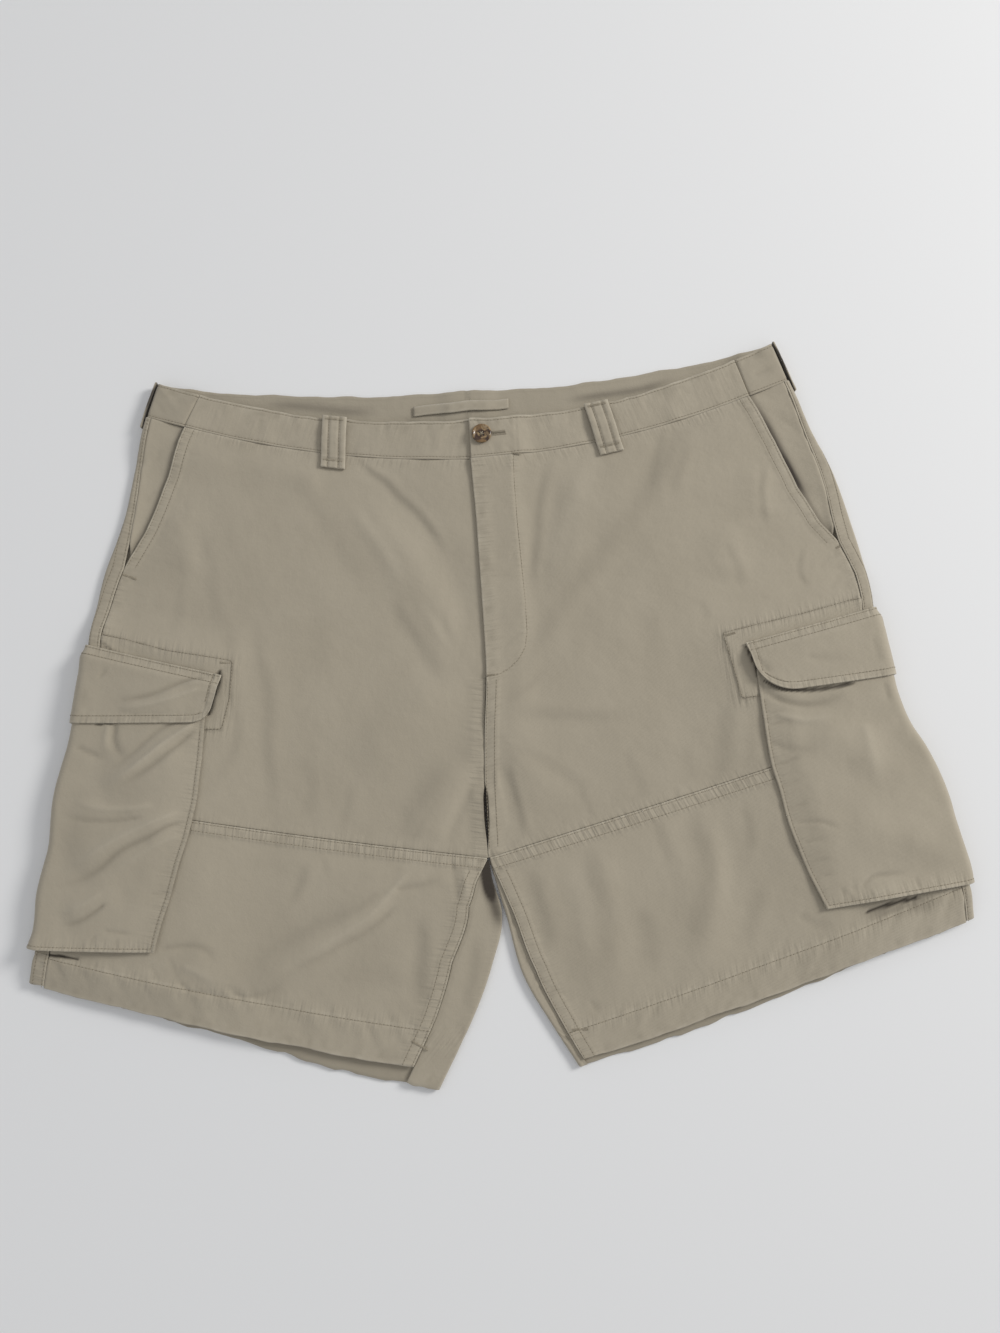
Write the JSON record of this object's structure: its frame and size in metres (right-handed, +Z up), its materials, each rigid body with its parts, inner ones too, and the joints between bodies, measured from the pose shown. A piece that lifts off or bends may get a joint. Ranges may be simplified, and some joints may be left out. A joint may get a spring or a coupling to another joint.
{
  "type": "cargo shorts",
  "caption": "Men's cotton cargo shorts laid flat, front up: fly front, slant hip pockets, flapped bellows pocket round each leg, belt loops and a waist button",
  "frame": {"origin": "the middle of the shorts' outline in plan, on the surface that they lie on", "axes": "+Z is up out of the front, +Y runs from the hems to the waist, +X runs to the wearer's left, which is the picture's right"},
  "size_m": [0.7884, 0.6344, 0.0214],
  "materials": {
    "twill": "matt cotton twill, stone khaki",
    "horn": "mottled brown imitation horn"
  },
  "bodies": {
    "root": {"front_right": "twill", "front_left": "twill", "lower_front_right": "twill", "lower_front_left": "twill", "back_right": "twill", "back_left": "twill", "waistband_right": "twill", "waistband_left": "twill", "waistband_back": "twill", "hip_facing_right": "twill", "hip_facing_left": "twill", "cargo_pocket_right": "twill", "cargo_pocket_left": "twill", "cargo_gusset_right": "twill", "cargo_gusset_left": "twill", "cargo_flap_right": "twill", "cargo_flap_left": "twill", "belt_loop_front_right": "twill", "belt_loop_front_left": "twill", "belt_loop_side_right": "twill", "belt_loop_side_left": "twill", "belt_loop_back": "twill", "hanger_loop": "twill", "waist_button": "horn"}
  },
  "joints": []
}
